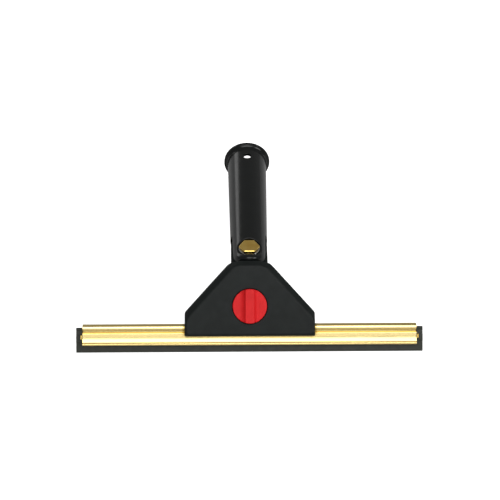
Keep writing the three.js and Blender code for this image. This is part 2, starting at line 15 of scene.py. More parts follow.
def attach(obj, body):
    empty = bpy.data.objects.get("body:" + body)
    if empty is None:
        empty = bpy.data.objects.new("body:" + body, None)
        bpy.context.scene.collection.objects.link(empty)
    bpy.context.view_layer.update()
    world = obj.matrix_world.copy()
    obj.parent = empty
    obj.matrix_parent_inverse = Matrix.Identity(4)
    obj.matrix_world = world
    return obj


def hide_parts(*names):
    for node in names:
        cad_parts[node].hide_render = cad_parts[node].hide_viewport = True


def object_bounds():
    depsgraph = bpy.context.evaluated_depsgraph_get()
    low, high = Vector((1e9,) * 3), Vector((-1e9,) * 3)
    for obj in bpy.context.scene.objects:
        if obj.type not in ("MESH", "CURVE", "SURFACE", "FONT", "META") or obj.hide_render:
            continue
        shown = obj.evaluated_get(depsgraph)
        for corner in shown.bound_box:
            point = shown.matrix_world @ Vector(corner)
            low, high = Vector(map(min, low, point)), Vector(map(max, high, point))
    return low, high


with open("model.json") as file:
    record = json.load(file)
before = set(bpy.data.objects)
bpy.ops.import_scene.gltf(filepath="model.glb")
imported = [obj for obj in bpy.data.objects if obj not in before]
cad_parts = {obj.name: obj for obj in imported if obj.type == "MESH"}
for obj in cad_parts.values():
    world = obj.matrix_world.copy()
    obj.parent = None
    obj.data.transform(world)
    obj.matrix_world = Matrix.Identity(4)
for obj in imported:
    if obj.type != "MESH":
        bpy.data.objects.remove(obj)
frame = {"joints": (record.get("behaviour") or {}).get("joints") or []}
cad_low, cad_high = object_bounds()

# ---- Sizes, in millimetres ----
GAP = 0.3

BLADE_LENGTH = 250
RUBBER_HALF = 0.9
RUBBER_SHOULDER_HALF = 1.5
RUBBER_SHOULDER_LOW = 7.4
RUBBER_BULB = 1.3
RUBBER_BULB_HEIGHT = 16.7
RUBBER_WAVE = 0.03  # how far the free edge wanders from straight

RAIL_LENGTH = 240.6
RAIL_LOW = 5
RAIL_HALF = 4
RAIL_WALL = 0.8
LIP_TOP = 6.5
FACE_LOW = 7.2
LIP_CREASE = 0.55
FACE_TOP = 13.7
FACE_HOLLOW = 0.2  # how far the broad face dips in the middle
HOLLOW_FROM = 7.5
HOLLOW_TO = 13.1
GROOVE_HALF = 2.1
GROOVE_TOP = 14.8
BEAD_RADIUS = 2.9
BEAD_HEIGHT = 17.5
INSIDE_TOP = 12.9  # of the room for the rubber

CLIP_INSIDE = 9
CLIP_TAB = 1
CLIP_LOW = 9.6
CLIP_HEIGHT = 3
CLIP_REAR = -1.8
CLIP_FRONT = -2.9

HEAD_HALF = 46.8
HEAD_LOW = 11.7
HEAD_SIDE_TOP = 28.8
HEAD_TOP = 68.5
NECK_HALF = 10.6
HEAD_FRONT = 10.5
HEAD_BACK = 10
HEAD_WALL = 2.4
HEAD_BEVEL = 4
TOP_BEVEL = 6  # over the panel, under the neck
EDGE_BEVEL = 0.8
JAW_TOP = 23.5
JAW_PLAY = 0.4
SPLIT = 0.15  # each shell's distance from the mid plane
POST_RADIUS = 3.6

SCREW_PLACES = {
    "cover_screw_low_left": (-38.6, 27),
    "cover_screw_low_right": (38.6, 27),
    "cover_screw_high_left": (-22, 39.5),
    "cover_screw_high_right": (22, 39.5),
}
SCREW_RADIUS = 1.5
SCREW_HEAD_RADIUS = 2.8
SCREW_HEAD_HEIGHT = 2
SCREW_SUNK = 0.5
SCREW_TIP = -7.2
SCREW_THREAD = 0.12
SCREW_PITCH = 0.9
DRIVE_HALF = 0.4  # half the width of a screw's slot
DRIVE_REACH = 4

KNOB_HEIGHT = 33.3
KNOB_RADIUS = 12.25
KNOB_FACE = -11
KNOB_BACK = -8.3
RECESS_RADIUS = 12.65
RECESS_FLOOR = -8
GRIP_FACE = -14
GRIP_BASE_HALF = 7.5  # where its hollowed flanks run out into the disc
GRIP_TOP_HALF = 3.3
SHAFT_RADIUS = 4
SQUARE_HALF = 2.8  # the shaft's end, which turns the cam

CAM_LARGE = 6.5
CAM_DROP = 1.5
CAM_FRONT = -5.5  # of the slide too
CAM_BACK = -2.5
CAM_WASHER_RADIUS = 5
CAM_WASHER_FRONT = -2.2
CAM_WASHER_BACK = -1.2
CAM_SCREW_RADIUS = 1.2
CAM_SCREW_HOLE = 1.6
CAM_SCREW_HOLE_END = -9.8
CAM_SCREW_TIP = -9.5
CAM_SCREW_SEAT = -0.9
CAM_SCREW_FACE = 1.1
CAM_SCREW_HEAD_RADIUS = 3
CAM_SCREW_THREAD = 0.1
CAM_SCREW_PITCH = 0.8

SLIDE_HALF = 13
SLIDE_LOW = 22.5
SLIDE_TOP = 42.1
SLIDE_PLAY = 0.4
SLIDE_REACH = 43.3  # how high the guides run beside it
GUIDE_WALL = 2
FOOT_BACK = 3
FOOT_ROOM_LOW = 20.1
WINDOW_HALF = 6.8
WINDOW_LOW = 26.5
WINDOW_TOP = 38.6
PAD_HALF = 12.5
PAD_HALF_DEPTH = 2.5
PAD_LOW = 20.7
PAD_TOP = 22.2

BEND = 51
PIVOT_BACK = 10.9
PIVOT_HEIGHT = 66
TONGUE_HALF = 4
TONGUE_REACH = 20.5
TONGUE_ROOT = 17
TONGUE_END_BACK = 34  # past the tongue's end, in the head's directions
TONGUE_END_TOP = 88
SWING_CLEAR = 14
PIVOT_HOLE = 4.3

HANDLE_LENGTH = 124
TUBE_RADIUS = 13.3
MOUTH_RADIUS = 15.2
RIM_RADIUS = 18
RIM_THICKNESS = 2.2
RIM_FLARE = 3.6
SOCKET_LOW = 46
SOCKET_MOUTH = 12.8
SOCKET_END = 11.64
END_ROUND = 2.2  # on the fork's lower end
SLOT_HALF = 5.6
SLOT_TOP = 21
CORE_HALF = 9
CORE_TOP = 42
CHEEK_SEAT = 10
SEAT_RADIUS = 9
BUTTON_RADIUS = 3
BUTTON_HEIGHT = 110

HEX_HALF = 6.5  # half the width across flats
BOLT_HEAD_FACE = -13.9
BOLT_DISH = 0.25  # how deep the middle of its head is
BOLT_CHAMFER = 0.6
BOLT_HEAD_SEAT = -11.4
BOLT_RADIUS = 4
BOLT_END = 15.6
NUT_SEAT = 11.6
NUT_FACE = 15.6
BOLT_THREAD = 0.15
BOLT_PITCH = 1.25
WASHER_RADIUS = 7.4
WASHER_THICK = 1
SPRING_THICK = 0.8
SPRING_SPLIT = 0.08  # in radians
DISC_RADIUS = 11.5
DISC_THICK = 1
NUT_CROWN = 0.15  # how much wider than the flats its cone starts
NUT_CONE = 1.7  # how far the cone spreads for each millimetre


# ---- Places ----
JOINTS = {joint["name"]: joint for joint in frame["joints"]}


def place(front, origin):
    """The matrix from millimetres in a sub-assembly's own directions to the row frame."""
    back = -Vector(front).normalized()
    side = Vector((1, 0, 0))
    up = side.cross(back)
    turn = Matrix((side, back, up)).transposed().to_4x4()
    return Matrix.Translation(origin) @ turn @ Matrix.Scale(0.001, 4)


knob_joint = JOINTS["knob_turn"]
KNOB = place(knob_joint["axis"], Vector(knob_joint["pos_m"]))
HEAD = KNOB @ Matrix.Translation((0, 0, -KNOB_HEIGHT))
swivel_joint = JOINTS["handle_swivel"]
HANDLE = place(Vector(swivel_joint["axis"]), Vector(swivel_joint["pos_m"]))


# ---- Fields: negative inside a shape, in millimetres ----
def length(*parts):
    return np.sqrt(sum(part * part for part in parts))


def both(a, b, radius=0.0):
    """Where two shapes overlap, with the edge between them rounded."""
    if not radius:
        return np.maximum(a, b)
    inner = np.minimum(np.maximum(a, b), -radius)
    return inner + length(np.maximum(a + radius, 0), np.maximum(b + radius, 0))


def either(a, b, radius=0.0):
    """Two shapes together, with the corner between them filled in."""
    return -both(-a, -b, radius)


def cut(a, b, radius=0.0):
    """The first shape without the second, with the new edge rounded."""
    return both(a, -b, radius)


def between(value, low, high):
    return np.maximum(low - value, value - high)


def box(x, y, z, low, high, radius=0.0):
    sides = [between(v, a + radius, b - radius) for v, a, b in zip((x, y, z), low, high)]
    outside = length(*[np.maximum(side, 0) for side in sides])
    return outside + np.minimum(np.maximum.reduce(sides), 0) - radius


def convex(x, z, corners, radius=0.0):
    """A convex outline given corner by corner, anticlockwise, with its corners rounded."""
    field = None
    for (ax, az), (bx, bz) in zip(corners, corners[1:] + corners[:1]):
        run = math.hypot(bx - ax, bz - az)
        side = ((x - ax) * (bz - az) - (z - az) * (bx - ax)) / run
        field = side if field is None else both(field, side, radius)
    return field


def skin(name, field, low, high, step, keep=1.0):
    """A closed mesh on a field's zero level: one point in each cell that the level passes through, drawn onto
    the level, and one quad for each grid edge that it crosses."""
    axes = [np.arange(a - 2 * step, b + 3 * step, step) + 0.0137 * step for a, b in zip(low, high)]
    shape = tuple(len(axis) for axis in axes)
    values = np.empty(shape, np.float32)
    for i, x in enumerate(axes[0]):
        y, z = np.meshgrid(axes[1], axes[2], indexing="ij")
        values[i] = field(np.full_like(y, x), y, z)
    inside = values < 0

    cells = tuple(n - 1 for n in shape)
    corners = [(i, j, k) for i in (0, 1) for j in (0, 1) for k in (0, 1)]

    def corner(grid, c):
        return grid[c[0]:c[0] + cells[0], c[1]:c[1] + cells[1], c[2]:c[2] + cells[2]]

    count = sum(corner(inside, c).astype(np.int8) for c in corners)
    active = np.argwhere((count > 0) & (count < len(corners)))
    index = np.full(cells, -1, np.int32)
    index[tuple(active.T)] = np.arange(len(active))

    total = np.zeros((len(active), 3))
    crossings = np.zeros(len(active))
    for c in corners:
        for axis in range(3):
            if c[axis]:
                continue
            d = tuple(v + (n == axis) for n, v in enumerate(c))
            a = values[tuple((active + c).T)].astype(float)
            b = values[tuple((active + d).T)].astype(float)
            hit = (a < 0) != (b < 0)
            share = np.where(hit, a / np.where(hit, a - b, 1), 0)
            point = np.tile(np.array(c, float), (len(active), 1))
            point[:, axis] += share
            total += point * hit[:, None]
            crossings += hit
    start = np.array([axis[0] for axis in axes])
    points = start + (active + total / crossings[:, None]) * step
    points = settle(field, points, step)

    quads = []
    for axis in range(3):
        u, v = (axis + 1) % 3, (axis + 2) % 3
        near = [slice(0, n) for n in shape]
        far = [slice(0, n) for n in shape]
        near[axis], far[axis] = slice(0, -1), slice(1, None)
        a, b = inside[tuple(near)], inside[tuple(far)]
        edges = np.argwhere(a != b)
        leaving = a[tuple(edges.T)]
        ring = []
        for du, dv in ((1, 1), (0, 1), (0, 0), (1, 0)):
            cell = edges.copy()
            cell[:, u] -= du
            cell[:, v] -= dv
            ring.append(index[tuple(cell.T)])
        ring = np.stack(ring, 1)
        ring[~leaving] = ring[~leaving][:, ::-1]
        quads.append(ring)
    faces = np.concatenate(quads)

    mesh = bpy.data.meshes.new(name)
    mesh.from_pydata(points.tolist(), [], faces.tolist())
    mesh.validate()
    if keep < 1:
        mesh = thinned(mesh, keep)
        points = settle(field, coordinates(mesh), step)
        mesh.vertices.foreach_set("co", points.astype(np.float32).ravel())
    slope = gradient(field, coordinates(mesh))
    normals = slope / np.maximum(length(*slope.T), 1e-9)[:, None]
    mesh.polygons.foreach_set("use_smooth", [True] * len(mesh.polygons))
    mesh.normals_split_custom_set_from_vertices(normals.tolist())
    return mesh


def coordinates(mesh):
    flat = np.zeros(len(mesh.vertices) * 3, np.float32)
    mesh.vertices.foreach_get("co", flat)
    return flat.reshape(-1, 3).astype(float)


def gradient(field, points, reach=0.02):
    slopes = []
    for axis in range(3):
        shift = np.zeros(3)
        shift[axis] = reach
        ahead, behind = points + shift, points - shift
        slopes.append((field(*ahead.T) - field(*behind.T)) / (2 * reach))
    return np.stack(slopes, 1)


def settle(field, points, step):
    """The points drawn onto the field's zero level, none of them by more than half a cell."""
    settled = points.copy()
    for _ in range(4):
        slope = gradient(field, settled)
        size = np.maximum((slope * slope).sum(1), 0.05)
        move = -(field(*settled.T) / size)[:, None] * slope
        settled = points + np.clip(settled + move - points, -step / 2, step / 2)
    return settled


def thinned(mesh, keep):
    """The mesh with its flat stretches in larger faces."""
    carrier = bpy.data.objects.new("carrier", mesh)
    bpy.context.scene.collection.objects.link(carrier)
    carrier.modifiers.new("thin", "DECIMATE").ratio = keep
    seen = carrier.evaluated_get(bpy.context.evaluated_depsgraph_get())
    made = bpy.data.meshes.new_from_object(seen)
    bpy.data.objects.remove(carrier)
    return made


# ---- Outlines, swept and turned ----
def rounded(corners, steps=5):
    """An outline through (a, b, radius) corners, each with an arc of that radius."""
    made = []
    for n, (a, b, radius) in enumerate(corners):
        here = np.array([a, b], float)
        if radius <= 0:
            made.append(here)
            continue
        before = np.array(corners[n - 1][:2], float) - here
        after = np.array(corners[(n + 1) % len(corners)][:2], float) - here
        before /= np.hypot(*before)
        after /= np.hypot(*after)
        half = math.acos(max(-1, min(1, before @ after))) / 2
        middle = before + after
        centre = here + middle / np.hypot(*middle) * radius / math.sin(half)
        first = here + before * radius / math.tan(half) - centre
        last = here + after * radius / math.tan(half) - centre
        turn = math.atan2(first[0] * last[1] - first[1] * last[0], first @ last)
        for i in range(steps + 1):
            c, s = math.cos(turn * i / steps), math.sin(turn * i / steps)
            made.append(centre + np.array([first[0] * c - first[1] * s, first[0] * s + first[1] * c]))
    return made


def inward(outline, distance):
    """A closed anticlockwise outline, moved in by a small distance."""
    points = np.array(outline)
    along = np.roll(points, -1, 0) - np.roll(points, 1, 0)
    along /= np.maximum(np.hypot(*along.T), 1e-9)[:, None]
    return points + distance * np.stack([-along[:, 1], along[:, 0]], 1)


def sweep(name, outline, half, edge, steps, wander=None):
    """A closed outline in y and z, run along x, with its two end edges rounded."""
    arc = [(edge * (1 - math.cos(t)), edge * (1 - math.sin(t))) for t in np.linspace(0, math.pi / 2, 4)]
    stations = [(-half + back, inset) for back, inset in arc]
    stations += [(x, 0) for x in np.linspace(-half + 2 * edge, half - 2 * edge, steps + 1)]
    stations += [(half - back, inset) for back, inset in reversed(arc)]
    made = bmesh.new()
    rings = []
    for x, inset in stations:
        ring = []
        for y, z in inward(outline, inset):
            shift = wander(x, z) if wander else 0
            ring.append(made.verts.new((x, y + shift, z)))
        rings.append(ring)
    size = len(outline)
    for near, far in zip(rings, rings[1:]):
        for n in range(size):
            m = (n + 1) % size
            made.faces.new((near[n], near[m], far[m], far[n]))
    made.faces.new(rings[0][::-1])
    made.faces.new(rings[-1])
    bmesh.ops.recalc_face_normals(made, faces=made.faces[:])
    return finished(name, made)


def turned(name, outline, sides=96, gap=0.0):
    """A closed outline in radius and depth, turned round the y axis. With a gap, the ring is split."""
    made = bmesh.new()
    whole = gap == 0
    count = sides if whole else sides + 1
    rings = []
    for n in range(count):
        angle = 2 * math.pi * n / sides if whole else gap / 2 + (2 * math.pi - gap) * n / sides
        rings.append([made.verts.new((r * math.sin(angle), y, r * math.cos(angle))) for r, y in outline])
    for n in range(sides):
        near, far = rings[n], rings[(n + 1) % count]
        for m in range(len(outline)):
            k = (m + 1) % len(outline)
            made.faces.new((near[m], near[k], far[k], far[m]))
    if not whole:
        made.faces.new(rings[0])
        made.faces.new(rings[-1][::-1])
    bmesh.ops.remove_doubles(made, verts=made.verts[:], dist=1e-4)
    bmesh.ops.recalc_face_normals(made, faces=made.faces[:])
    return finished(name, made)


def finished(name, made):
    """A mesh from a bmesh, smooth except across its sharp edges."""
    for face in made.faces:
        face.smooth = True
    for edge in made.edges:
        if len(edge.link_faces) == 2 and edge.calc_face_angle() > math.radians(38):
            edge.smooth = False
    mesh = bpy.data.meshes.new(name)
    made.to_mesh(mesh)
    made.free()
    return mesh


def show(mesh, where, body, node, slot, material):
    """Puts a mesh where its sub-assembly is, as the piece that stands for a node of the frame."""
    mesh.transform(where)
    mesh.materials.append(material)
    made = bpy.data.objects.new(node + "_look", mesh)
    bpy.context.scene.collection.objects.link(made)
    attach(made, body)
    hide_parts(node)
    return made


# ---- Materials ----
class Surface:
    """A Principled material, and short ways to add nodes to it."""

    def __init__(self, name, **sockets):
        self.material = bpy.data.materials.new(name)
        self.material.use_nodes = True
        self.nodes = self.material.node_tree.nodes
        self.links = self.material.node_tree.links
        self.shader = self.nodes["Principled BSDF"]
        for socket, value in sockets.items():
            self.shader.inputs[socket.replace("_", " ")].default_value = value
        self.place = self.nodes.new("ShaderNodeTexCoord").outputs["Object"]

    def noise(self, size, detail=3.0, stretch=(1, 1, 1), roughness=0.5):
        """Noise whose features are about size millimetres, drawn out along an axis by stretch."""
        mapping = self.nodes.new("ShaderNodeMapping")
        mapping.inputs["Scale"].default_value = [1000 / size / s for s in stretch]
        self.links.new(self.place, mapping.inputs["Vector"])
        texture = self.nodes.new("ShaderNodeTexNoise")
        texture.inputs["Scale"].default_value = 1
        texture.inputs["Detail"].default_value = detail
        texture.inputs["Roughness"].default_value = roughness
        self.links.new(mapping.outputs["Vector"], texture.inputs["Vector"])
        return texture.outputs["Fac"]

    def span(self, value, low, high, start=0.3, end=0.7):
        """The value from start to end, as a number from low to high."""
        node = self.nodes.new("ShaderNodeMapRange")
        for socket, number in zip(("From Min", "From Max", "To Min", "To Max"), (start, end, low, high)):
            node.inputs[socket].default_value = number
        self.links.new(value, node.inputs["Value"])
        return node.outputs["Result"]

    def shades(self, value, *stops):
        """The value as a colour, from (place, colour) stops."""
        node = self.nodes.new("ShaderNodeValToRGB")
        while len(node.color_ramp.elements) < len(stops):
            node.color_ramp.elements.new(0.5)
        for element, (where, colour) in zip(node.color_ramp.elements, stops):
            element.position = where
            element.color = (*colour, 1)
        self.links.new(value, node.inputs["Fac"])
        return node.outputs["Color"]

    def shaded_in_creases(self, colour, painted_shade, reach):
        """The colour, darkened towards a painted shade where other faces stand within reach millimetres."""
        # Painted shade: occlusion darkens the colour in creases and grooves.
        room = self.nodes.new("ShaderNodeAmbientOcclusion")
        room.inputs["Distance"].default_value = reach / 1000
        room.samples = 8
        mix = self.nodes.new("ShaderNodeMix")
        mix.data_type = "RGBA"
        self.links.new(self.span(room.outputs["AO"], 0, 1, 0.5, 0.97), mix.inputs["Factor"])
        mix.inputs[6].default_value = (*painted_shade, 1)
        self.links.new(colour, mix.inputs[7])
        return mix.outputs[2]

    def drive(self, socket, value):
        self.links.new(value, self.shader.inputs[socket])

    def bumps(self, *layers):
        """Bump from (noise, depth in millimetres) layers."""
        normal = None
        for value, depth in layers:
            node = self.nodes.new("ShaderNodeBump")
            node.inputs["Strength"].default_value = 1
            node.inputs["Distance"].default_value = depth / 1000
            self.links.new(value, node.inputs["Height"])
            if normal:
                self.links.new(normal, node.inputs["Normal"])
            normal = node.outputs["Normal"]
        self.drive("Normal", normal)


def black_moulding(name, shade, smoothest, roughest, gloss):
    made = Surface(name, Specular_IOR_Level=gloss)
    made.drive("Base Color", made.shades(
        made.noise(9), (0.3, tuple(0.85 * c for c in shade)), (0.7, tuple(1.15 * c for c in shade))))
    made.drive("Roughness", made.span(made.noise(5, 4), smoothest, roughest))
    made.bumps((made.noise(0.35, 2), 0.004), (made.noise(14, 2), 0.02))
    return made.material


def red_plastic():
    made = Surface("red_plastic", Specular_IOR_Level=0.15)
    made.drive("Base Color", made.shades(
        made.noise(6), (0.3, (0.64, 0.013, 0.015)), (0.7, (0.72, 0.017, 0.020))))
    made.drive("Roughness", made.span(made.noise(3, 4), 0.38, 0.46))
    made.bumps((made.noise(0.4, 2), 0.003))
    return made.material


def brass(name, stretch, dull, plain, bright):
    made = Surface(name, Metallic=1.0)
    clean = made.shades(made.noise(7, 4, stretch), (0.25, dull), (0.6, plain), (0.85, bright))
    # Painted shade: the brass is darkened towards dull brown in its grooves and creases.
    made.drive("Base Color", made.shaded_in_creases(clean, (0.32, 0.22, 0.05), 2.6))
    made.drive("Roughness", made.span(made.noise(0.5, 4, stretch), 0.15, 0.26))
    made.bumps((made.noise(0.3, 3, stretch), 0.0018), (made.noise(6, 2), 0.008))
    return made.material


def rubber():
    made = Surface("rubber", Specular_IOR_Level=0.4)
    made.drive("Base Color", made.shades(
        made.noise(4, 4), (0.3, (0.021, 0.024, 0.018)), (0.7, (0.032, 0.034, 0.027))))
    made.drive("Roughness", made.span(made.noise(2, 4), 0.58, 0.74))
    made.bumps((made.noise(0.25, 3), 0.006), (made.noise(5, 2, (6, 1, 1)), 0.015))
    return made.material


def steel():
    made = Surface("steel", Metallic=1.0)
    made.drive("Base Color", made.shades(
        made.noise(1.2, 4), (0.3, (0.52, 0.53, 0.53)), (0.7, (0.68, 0.69, 0.68))))
    made.drive("Roughness", made.span(made.noise(0.6, 4), 0.28, 0.42))
    made.bumps((made.noise(0.2, 3), 0.003))
    return made.material


def white_plastic():
    made = Surface("white_plastic", Specular_IOR_Level=0.5)
    made.drive("Base Color", made.shades(
        made.noise(5, 3), (0.3, (0.66, 0.64, 0.58)), (0.7, (0.76, 0.75, 0.70))))
    made.drive("Roughness", made.span(made.noise(2, 3), 0.40, 0.52))
    made.bumps((made.noise(0.4, 2), 0.004))
    return made.material


BLACK = black_moulding("black_moulding", (0.0098, 0.0122, 0.0116), 0.34, 0.44, 0.13)
GRIP_BLACK = black_moulding("black_grip", (0.0042, 0.0052, 0.0048), 0.15, 0.21, 0.33)
RED = red_plastic()
DRAWN_BRASS = brass("drawn_brass", (60, 1, 1), (0.91, 0.70, 0.27), (0.94, 0.75, 0.34), (0.96, 0.80, 0.42))
TURNED_BRASS = brass("turned_brass", (1, 1, 1), (0.80, 0.50, 0.11), (0.90, 0.62, 0.17), (0.94, 0.70, 0.24))
RUBBER = rubber()
STEEL = steel()
WHITE = white_plastic()


# ---- Rail, rubber and clips ----
def hollowed(count=12):
    """The broad face: a very shallow hollow from its low edge to the top."""
    return [(RAIL_HALF - FACE_HOLLOW * (1 - (2 * t - 1) ** 2), HOLLOW_FROM + t * (HOLLOW_TO - HOLLOW_FROM), 0)
            for t in np.linspace(0, 1, count)]


def bead_arc(radius, half, height, first, last, steps):
    """Points on a bead, between two angles."""
    return [(radius * math.cos(a), height + radius * math.sin(a)) for a in np.linspace(first, last, steps)]


def rail_outline():
    """The folded sheet's section: outside from the rear lip round the bead to the front, then the inside."""
    slot = RUBBER_HALF + GAP
    neck = -math.acos(GROOVE_HALF / BEAD_RADIUS)
    right = [(slot, RAIL_LOW, 0.2), (RAIL_HALF, RAIL_LOW, 0.75), (RAIL_HALF, LIP_TOP, 0.25),
             (RAIL_HALF - LIP_CREASE, (LIP_TOP + FACE_LOW) / 2, 0.1)]
    right += [(RAIL_HALF, FACE_LOW, 0.2)] + hollowed()[1:]
    right += [(RAIL_HALF, FACE_TOP, 0.2), (GROOVE_HALF, GROOVE_TOP, 0.35)]
    outside = rounded([(0, RAIL_LOW - 5, 0)] + right + [(GROOVE_HALF, GROOVE_TOP + 1, 0)])[1:-1]
    bead = bead_arc(BEAD_RADIUS, GROOVE_HALF, BEAD_HEIGHT, neck + 0.12, math.pi / 2, 18)
    half = [tuple(p) for p in outside] + bead
    left = [(-y, z) for y, z in half[:-1][::-1]]

    inner_bead = BEAD_RADIUS - RAIL_WALL
    inner_groove = GROOVE_HALF - RAIL_WALL
    inner_neck = -math.acos(inner_groove / inner_bead)
    low = [(slot, RAIL_LOW + RAIL_WALL), (RAIL_HALF - RAIL_WALL, RAIL_LOW + RAIL_WALL),
           (RAIL_HALF - RAIL_WALL, INSIDE_TOP), (inner_groove, INSIDE_TOP + 1.1)]
    inside = low + bead_arc(inner_bead, inner_groove, BEAD_HEIGHT, inner_neck + 0.1, math.pi / 2, 12)
    hollow = inside + [(-y, z) for y, z in inside[:-1][::-1]]
    return half + left + hollow[::-1]


def make_rail():
    show(sweep("rail", rail_outline(), RAIL_LENGTH / 2, 0.12, 60), HEAD, "rail", "rail", "brass", DRAWN_BRASS)


def make_rubber():
    shoulder_top = INSIDE_TOP - GAP
    neck = -math.acos(RUBBER_HALF / RUBBER_BULB)
    low = rounded([(0, -5, 0), (RUBBER_HALF, 0, 0.12), (RUBBER_HALF, RUBBER_SHOULDER_LOW, 0.2),
                   (RUBBER_SHOULDER_HALF, RUBBER_SHOULDER_LOW, 0.3), (RUBBER_SHOULDER_HALF, shoulder_top, 0.3),
                   (RUBBER_HALF, shoulder_top, 0.2), (RUBBER_HALF, shoulder_top + 2, 0)], 3)[1:-1]
    half = [tuple(p) for p in low]
    half += bead_arc(RUBBER_BULB, RUBBER_HALF, RUBBER_BULB_HEIGHT, neck, math.pi / 2, 10)
    outline = half + [(-y, z) for y, z in half[:-1][::-1]]

    def wander(x, z):
        free = max(0, 1 - z / RAIL_LOW)
        return RUBBER_WAVE * free * (math.sin(x / 23) + 0.6 * math.sin(x / 9.1 + 1))

    mesh = sweep("rubber_blade", outline, BLADE_LENGTH / 2, 0.15, 160, wander)
    show(mesh, HEAD, "rail", "rubber_blade", "rubber", RUBBER)


def make_clips():
    end = RAIL_LENGTH / 2
    tab = end + GAP
    high = CLIP_LOW + CLIP_HEIGHT
    for side, name in ((-1, "rubber_clip_left"), (1, "rubber_clip_right")):
        def field(x, y, z, side=side):
            leg = box(side * x, y, z, (end - CLIP_INSIDE, CLIP_FRONT, CLIP_LOW),
                      (tab + CLIP_TAB, CLIP_REAR, high), 0.25)
            turn = box(side * x, y, z, (tab, -RAIL_HALF, CLIP_LOW), (tab + CLIP_TAB, CLIP_REAR, high), 0.3)
            return either(leg, turn, 0.3)
        reach = sorted((side * (end - CLIP_INSIDE), side * (tab + CLIP_TAB)))
        mesh = skin(name, field, (reach[0], -RAIL_HALF, CLIP_LOW), (reach[1], CLIP_REAR, high), 0.12)
        show(mesh, HEAD, "rail", name, "brass", TURNED_BRASS)


# ---- Head ----
HEAD_CORNERS = [(-HEAD_HALF, HEAD_LOW), (HEAD_HALF, HEAD_LOW), (HEAD_HALF, HEAD_SIDE_TOP),
                (NECK_HALF, HEAD_TOP), (-NECK_HALF, HEAD_TOP), (-HEAD_HALF, HEAD_SIDE_TOP)]
SHOULDER_RUN = (HEAD_HALF - NECK_HALF) / (HEAD_TOP - HEAD_SIDE_TOP)


def head_corners(bevel, edge):
    """The head's outline with its shoulders and top moved in by one distance and the rest by another."""
    across = bevel * math.hypot(1, SHOULDER_RUN)
    side, top = HEAD_HALF - edge, HEAD_TOP - bevel * TOP_BEVEL / HEAD_BEVEL
    reach = NECK_HALF + (HEAD_TOP - top) * SHOULDER_RUN - across
    turn = HEAD_TOP - (side - NECK_HALF + across) / SHOULDER_RUN
    return [(-side, HEAD_LOW + edge), (side, HEAD_LOW + edge), (side, turn),
            (reach, top), (-reach, top), (-side, turn)]


def head_outside(x, y, z):
    """The head's two shells together, bevelled front and back."""
    outline = convex(x, z, HEAD_CORNERS, 0.8)
    panel = convex(x, z, head_corners(HEAD_BEVEL, EDGE_BEVEL), 2.5)
    thick = between(y, -HEAD_FRONT, HEAD_BACK)
    bevel = (panel + thick) * math.sqrt(0.5)
    return both(both(outline, thick, 0.5), bevel, 1.0)


def in_handle(x, y, z):
    """Head coordinates as handle coordinates."""
    turn = math.radians(BEND)
    back, up = y - PIVOT_BACK, z - PIVOT_HEIGHT
    return x, back * math.cos(turn) - up * math.sin(turn), back * math.sin(turn) + up * math.cos(turn)


def swing(x, y, z):
    """The space that the handle needs, over the head's neck."""
    return -SWING_CLEAR - in_handle(x, y, z)[2]


def cavity(x, y, z):
    inner = head_corners(HEAD_WALL, HEAD_WALL)
    inner = [(a, max(b, JAW_TOP)) for a, b in inner]
    room = both(convex(x, z, inner, 1.5), between(y, -HEAD_FRONT + HEAD_WALL, HEAD_BACK - HEAD_WALL), 1)
    return cut(room, swing(x, y, z) - HEAD_WALL, 0.6)


def rail_room(x, y, z, grow):
    """The rail's outer shape, grown for the jaw."""
    half, groove = RAIL_HALF + grow, GROOVE_HALF + grow
    body = both(np.abs(y) - half, z - FACE_TOP - grow)
    bead = length(y, z - BEAD_HEIGHT) - BEAD_RADIUS - grow
    neck = both(np.abs(y) - groove, between(z, FACE_TOP - 1, BEAD_HEIGHT))
    return np.minimum(np.minimum(body, bead), neck)


def foot_room(x, y, z):
    half = SLIDE_HALF + SLIDE_PLAY
    low, high = (-half, CAM_FRONT - SLIDE_PLAY, FOOT_ROOM_LOW), (half, FOOT_BACK + SLIDE_PLAY, JAW_TOP + 1)
    return box(x, y, z, low, high, 0.2)


def posts(x, y, z, radius):
    field = None
    for a, b in SCREW_PLACES.values():
        post = length(x - a, z - b) - radius
        field = post if field is None else np.minimum(field, post)
    return field


def tongue(x, y, z, grow):
    a, b, c = in_handle(x, y, z)
    half = TUBE_RADIUS + grow
    outline = both(np.abs(a) - half, -TONGUE_ROOT - grow - c, 0.5)
    outline = both(outline, np.where(c > 0, length(a, c) - TONGUE_REACH - grow, -9), 0.5)
    return both(outline, np.abs(b) - TONGUE_HALF - grow, 0.4 + grow)


def head_body(x, y, z):
    field = both(head_outside(x, y, z), SPLIT - y, 0.3)
    field = cut(field, swing(x, y, z), 0.4)
    field = cut(field, cavity(x, y, z), 0.3)
    field = either(field, both(posts(x, y, z, POST_RADIUS), between(y, SPLIT, HEAD_BACK - EDGE_BEVEL)), 0.4)
    field = cut(field, rail_room(x, y, z, JAW_PLAY), 0.3)
    field = cut(field, foot_room(x, y, z), 0.2)
    field = either(field, tongue(x, y, z, 0), 1.2)
    a, _, c = in_handle(x, y, z)
    field = cut(field, length(a, c) - PIVOT_HOLE, 0.3)
    sink = HEAD_BACK - SCREW_SUNK - SCREW_HEAD_HEIGHT - GAP
    field = cut(field, posts(x, y, z, SCREW_RADIUS + GAP), 0.15)
    return cut(field, both(posts(x, y, z, SCREW_HEAD_RADIUS + GAP), sink - y, 0.2), 0.35)


